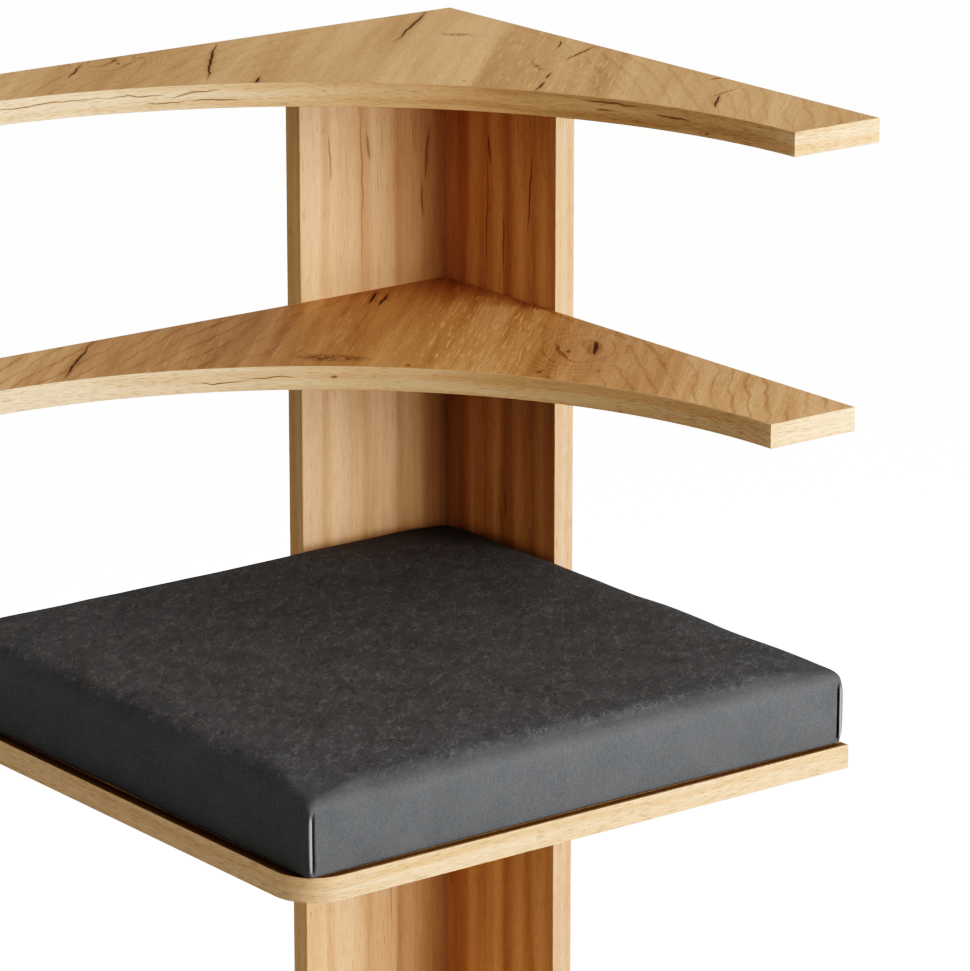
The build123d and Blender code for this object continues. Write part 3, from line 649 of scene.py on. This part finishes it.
def stuffed(piece):
    """Fills a coarse copy as cloth under pressure. Gives its points and how far each one moved."""
    coarse = piece.copy()
    coarse.data = piece.data.copy()
    into_scene(coarse)
    bpy.context.view_layer.objects.active = coarse
    remesh = coarse.modifiers.new("remesh", "REMESH")
    remesh.mode = "VOXEL"
    remesh.voxel_size = VOXEL
    bpy.ops.object.modifier_apply(modifier=remesh.name)
    before = [vertex.co.copy() for vertex in coarse.data.vertices]
    cloth = coarse.modifiers.new("cloth", "CLOTH")
    cloth.settings.quality = 5
    cloth.settings.mass = 0.3
    cloth.settings.tension_stiffness = cloth.settings.compression_stiffness = 25.0
    cloth.settings.shear_stiffness = 12.0
    cloth.settings.bending_stiffness = 2.0
    cloth.settings.use_pressure = True
    cloth.settings.uniform_pressure_force = PRESSURE
    cloth.settings.effector_weights.gravity = 0.0
    cloth.point_cache.frame_start, cloth.point_cache.frame_end = 1, FRAMES
    for step in range(1, FRAMES + 1):
        bpy.context.scene.frame_set(step)
    settled = coarse.evaluated_get(bpy.context.evaluated_depsgraph_get())
    moves = [vertex.co - place for vertex, place in zip(settled.data.vertices, before)]
    bpy.context.scene.frame_set(1)
    bpy.data.objects.remove(coarse)
    return before, moves


def swell_of(piece):
    """How far each point of the cushion moves as it is stuffed. The cloth swells too much for such
    a full cushion, so its moves are scaled until the largest is SWELL."""
    before, moves = stuffed(piece)
    largest = max(move.length for move in moves)
    print("cushion swell", round(largest * 1000, 2), "mm at", len(before), "points")
    tree = KDTree(len(before))
    for index, place in enumerate(before):
        tree.insert(place, index)
    tree.balance()
    result = []
    for vertex in piece.data.vertices:
        total, weight = Vector((0.0, 0.0, 0.0)), 0.0
        for place, index, distance in tree.find_n(vertex.co, 8):
            share = 1 / (distance + 0.0015) ** 2
            total += moves[index] * share
            weight += share
        total /= weight
        result.append(total * (SWELL / largest))
    return result


cushion, outward = blank_mesh("cushion", places(coarse=0.0045, fine=0.0005, near=0.009), heights())
for vertex, move, out in zip(cushion.data.vertices, swell_of(cushion), outward):
    place = vertex.co
    x, y, up = place.x - MIDDLE_X, place.y - MIDDLE_Y, place.z - FLOOR
    ring, edge = max(abs(x), abs(y)), min(abs(x), abs(y))
    tall = (place.z - FLOOR) / (ROOF - FLOOR)
    # crown, and sides that pull in between the corners
    crown = CROWN * (1 - (x / SIDE) ** 2) * (1 - (y / SIDE) ** 2) * max(tall, 0.0) ** 3
    near_side = clamped((ring - SIDE + PULL_REACH) / PULL_REACH)
    pull = -PULL_IN * (1 - (edge / SIDE) ** 2) * near_side * max(tall, 0.0)
    belly = BELLY * math.sin(math.pi * clamped(tall)) if ring > SIDE - SIDE_FACE else 0.0
    # soft folds over the edges and slack of the upper face
    fold = (noise.noise(Vector((x * 28, y * 28, up * 16))) * FINE_FOLD
            + noise.noise(Vector((x * 9, y * 9, 3.0))) * BROAD_FOLD) * min(max(tall, 0.0) * 2, 1.0)
    # seams at both ends of the two side panels that face along X
    gap = abs(y) - (SIDE - SEAM_FROM_EDGE)
    run = up / SEAM_TOP
    carve = 0.0
    if abs(x) > SIDE - SIDE_FACE and 0.0 < run < 1.0:
        hold = min(6 * run, 1.0) * min(5 * (1 - run), 1.0) ** 0.7
        lips = math.exp(-((abs(gap) - LIP_AT) / LIP_WIDTH) ** 2) * (OUTER_LIP if gap > 0 else INNER_LIP)
        carve = hold * (lips - SEAM_DEPTH * math.exp(-(gap / SEAM_WIDTH) ** 2))
    aside = pull + belly + carve + fold * 0.6
    side_share = 1.0 if ring > SIDE - EDGE else 0.0
    move = move + Vector((out[0], out[1], 0.0)) * aside * side_share + Vector((0.0, 0.0, crown + fold))
    place = place + move
    # the underside is level over the pads, and the rim hangs down to the seat
    if tall < UNDERSIDE:
        place.z = min(place.z, vertex.co.z)
    if tall < RIM_HANGS:
        sag = clamped((ring - PADS_REACH) / (SIDE - PADS_REACH - 0.012))
        place.z -= DROOP * sag * sag * (3 - 2 * sag) * (1 - tall / RIM_HANGS)
    # and nothing leaves the cover's box
    place.x = min(max(place.x, cover[0].x), cover[1].x)
    place.y = min(max(place.y, cover[0].y), cover[1].y)
    place.z = min(max(place.z, seat_top + OVER_SEAT if ring > PADS_REACH else FLOOR), cover[1].z)
    vertex.co = place
for face in cushion.data.polygons:
    face.use_smooth = True
cushion.data.update()


def fabric(name):
    """Dark grey brushed fabric: short curly fibres above, a faint weave and a soft nap on the sides,
    which are painted lighter and cooler than the upper face as a painted sheen.
    """
    s = Shader(name, Specular_IOR_Level=0.25, Sheen_Weight=0.015, Sheen_Roughness=0.5)
    x, y, z = s.along((1, 0, 0)), s.along((0, 1, 0)), s.along((0, 0, 1))
    brushed = s.vector(s.times(s.math("SUBTRACT", x, y), 0.36), s.times(s.total(x, y), 0.71), z)
    wander = s.add("TexNoise", {"Vector": brushed, "Scale": 160.0, "Detail": 2.0}).outputs["Color"]
    bent = s.add("VectorMath", {0: wander, "Scale": 0.005}, operation="SCALE").outputs[0]
    bent = s.add("VectorMath", {0: brushed, 1: bent}, operation="ADD").outputs[0]
    fibres = s.math("MAXIMUM", s.line(bent, 200.0, 0.5, 0.060),
                    s.times(s.line(bent, 280.0, 0.52, 0.055, bend=0.6), 0.7))
    fibres = s.times(fibres, s.ease(s.noise(brushed, 140.0, 2.0), 0.36, 0.62))
    hollow = s.times(s.line(bent, 200.0, 0.46, 0.060, bend=1.1),
                     s.ease(s.noise(brushed, 120.0, 1.0), 0.45, 0.65))
    cloud = s.noise(s.place, 32.0, 4.0, 0.6)
    grit = s.noise(s.place, 900.0, 2.0, 0.6)
    # weave on the sides
    weft = s.noise(s.vector(s.times(s.total(x, y), 420.0), 0.0, s.times(z, 1500.0)), 1.0, 2.0, 0.6)
    warp = s.noise(s.vector(s.times(s.total(x, y), 1300.0), 5.0, s.times(z, 160.0)), 1.0, 2.0, 0.6)
    weave = s.math("SUBTRACT", s.total(s.times(weft, 0.6), s.times(warp, 0.5)), 0.55)
    above = s.ease(z, cover[1].z - 0.016, cover[1].z - 0.001)       # 0 on the sides
    topmost = s.ease(z, cover[1].z - 0.008, cover[1].z - 0.001)     # where the fibres show
    nap = s.math("SUBTRACT", 1.0, above)
    tone = s.total(0.25, s.times(s.math("SUBTRACT", cloud, 0.5), 0.5),
                   s.times(fibres, topmost, 0.46), s.times(hollow, topmost, -0.30),
                   s.times(s.math("SUBTRACT", grit, 0.5), 0.8), s.times(weave, nap, 0.9))
    upper = s.ramp(tone, [(0.0, (0.042, 0.042, 0.043, 1)), (0.35, (0.067, 0.068, 0.071, 1)),
                          (1.0, (0.135, 0.135, 0.138, 1))], smooth=False)
    # painted shade: the upper face is darker and browner towards the column, where the column and shelves shade
    # it, like the photo's cushion
    column_shade = s.ease(s.math("SUBTRACT", y, x), 0.20, 0.40)
    upper = s.mix(s.times(column_shade, 0.75), upper, (0.030, 0.022, 0.018, 1))
    # painted sheen: the sides get their own ramp, lighter and cooler than the upper face's
    lower = s.ramp(tone, [(0.0, (0.054, 0.057, 0.060, 1)), (0.35, (0.076, 0.079, 0.083, 1)),
                          (1.0, (0.115, 0.120, 0.126, 1))], smooth=False)
    colour = s.mix(above, lower, upper)
    # painted shade and highlight: the seams are painted black down in their grooves, where shade falls, and
    # their outer lips are painted light as a highlight
    off_y = s.math("ABSOLUTE", s.math("SUBTRACT", y, MIDDLE_Y))
    off_x = s.math("ABSOLUTE", s.math("SUBTRACT", x, MIDDLE_X))
    beyond = s.math("SUBTRACT", off_y, SIDE - SEAM_FROM_EDGE)
    seam = s.times(s.ease(off_x, SIDE - 0.006, SIDE - SIDE_FACE), s.ease(z, FLOOR + 0.001, FLOOR + 0.004),
                   s.ease(z, FLOOR + SEAM_TOP - 0.008, FLOOR + SEAM_TOP - 0.002, 1.0, 0.0))
    painted_lip_highlight = s.times(seam, s.ease(beyond, 0.0008, 0.0013), s.ease(beyond, 0.0022, 0.0032, 1.0, 0.0))
    colour = s.mix(s.times(painted_lip_highlight, 0.60), colour, (0.30, 0.30, 0.31, 1))
    painted_groove_shade = s.times(seam, s.ease(s.math("ABSOLUTE", beyond), 0.0005, 0.0010, 1.0, 0.0))
    colour = s.mix(s.times(painted_groove_shade, 0.97), colour, (0.003, 0.003, 0.003, 1))
    s.colour(colour)
    s.roughness(s.total(0.78, s.times(fibres, 0.08), s.times(cloud, 0.1), s.times(nap, -0.15)))
    s.bump(s.total(s.times(fibres, above, 0.4), s.times(grit, 0.4), s.times(weave, nap, 0.5)), 0.0002)
    return s.material


cushion.data.materials.append(fabric("cushion_fabric"))
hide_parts("cushion_cover", "cushion_bottom_panel", "cushion_foam")
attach(cushion, "cushion")

# ---------------------------------------------------------------- stage, light and camera
FLOOR_HALF = 20.0
FLOOR_LEVEL = cad_box[0].z - 0.0005
mesh = bpy.data.meshes.new("floor")
corners = [(-1, -1), (1, -1), (1, 1), (-1, 1)]
mesh.from_pydata([(x * FLOOR_HALF, y * FLOOR_HALF, FLOOR_LEVEL) for x, y in corners], [], [(0, 1, 2, 3)])
floor = bpy.data.objects.new("floor", mesh)
into_scene(floor)
WHITE_LIGHT, WARM_LIGHT = (1.0, 1.0, 1.0, 1.0), (1.0, 0.965, 0.91, 1.0)
pale = Shader("floor", Roughness=0.9, Specular_IOR_Level=0.0)
seen = pale.add("LightPath", {}).outputs["Is Camera Ray"]
pale.colour(pale.mix(seen, [0.48, 0.48, 0.48, 1.0], [0.28, 0.28, 0.285, 1.0]))
pale.put(pale.surface.inputs["Emission Color"], WHITE_LIGHT)
pale.put(pale.surface.inputs["Emission Strength"], pale.times(seen, 1.15))
floor.data.materials.append(pale.material)

ROOM, ROOM_LEAN, SEEN_BACKDROP = 0.73, 0.30, 1.45    # the room is brighter towards -Y
world = bpy.data.worlds.new("studio")
bpy.context.scene.world = world
world.use_nodes = True
nodes, links = world.node_tree.nodes, world.node_tree.links
backdrop = nodes["Background"]
path = nodes.new("ShaderNodeLightPath")
way = nodes.new("ShaderNodeTexCoord")
parts = nodes.new("ShaderNodeSeparateXYZ")
links.new(way.outputs["Generated"], parts.inputs[0])
room = nodes.new("ShaderNodeMapRange")
room.inputs["From Min"].default_value = -1.0
room.inputs["To Min"].default_value = ROOM * (1 + ROOM_LEAN)
room.inputs["To Max"].default_value = ROOM * (1 - ROOM_LEAN)
links.new(parts.outputs["Y"], room.inputs["Value"])
strength = nodes.new("ShaderNodeMapRange")
strength.inputs["To Max"].default_value = SEEN_BACKDROP
links.new(path.outputs["Is Camera Ray"], strength.inputs["Value"])
links.new(room.outputs["Result"], strength.inputs["To Min"])
links.new(strength.outputs["Result"], backdrop.inputs["Strength"])
tint = nodes.new("ShaderNodeMix")
tint.data_type = "RGBA"
for socket, colour in zip(MIX_COLOURS, (WARM_LIGHT, WHITE_LIGHT)):
    tint.inputs[socket].default_value = colour
links.new(path.outputs["Is Camera Ray"], tint.inputs[0])
links.new(tint.outputs[MIX_RESULT], backdrop.inputs["Color"])


def aimed(name, data, at, azimuth, elevation, distance):
    """Puts a lamp or camera at a distance from a point, looking at it. The azimuth is in degrees
    from +X towards +Y."""
    azimuth, elevation = math.radians(azimuth), math.radians(elevation)
    back = Vector((math.cos(azimuth) * math.cos(elevation), math.sin(azimuth) * math.cos(elevation),
                   math.sin(elevation)))
    thing = bpy.data.objects.new(name, data)
    into_scene(thing)
    thing.location = Vector(at) + back * distance
    thing.rotation_mode = "QUATERNION"
    thing.rotation_quaternion = back.to_track_quat("Z", "Y")
    return thing


lamp = bpy.data.lights.new("key", "AREA")
lamp.shape = "SQUARE"
lamp.size = 2.3
lamp.energy = 168.0
aimed("key", lamp, (0.0, 0.0, 0.6), azimuth=26.0, elevation=11.0, distance=3.0)

eye = bpy.data.cameras.new("camera")
eye.sensor_width = 36.0
eye.lens = 204.2
bpy.context.scene.camera = aimed("camera", eye, (0.0405, 0.0532, 0.5968), azimuth=52.67 - 90.0,
                                 elevation=16.12, distance=3.5775)

# film-like response: deep, warm shadows and soft highlights. Pairs of light in and light out.
TONE = [(0.03, 0.006), (0.06, 0.022), (0.09, 0.047), (0.13, 0.089), (0.18, 0.147), (0.25, 0.230), (0.35, 0.344),
        (0.50, 0.500), (0.70, 0.665), (0.90, 0.794), (1.10, 0.895)]
WHITE, ALL_COLOURS = 1.4, 3
view = bpy.context.scene.view_settings
view.view_transform = "Standard"
view.look = "None"
view.use_curve_mapping = True
view.curve_mapping.white_level = (WHITE, WHITE, WHITE)
for light_in, light_out in TONE:
    view.curve_mapping.curves[ALL_COLOURS].points.new(light_in / WHITE, light_out)
view.curve_mapping.update()
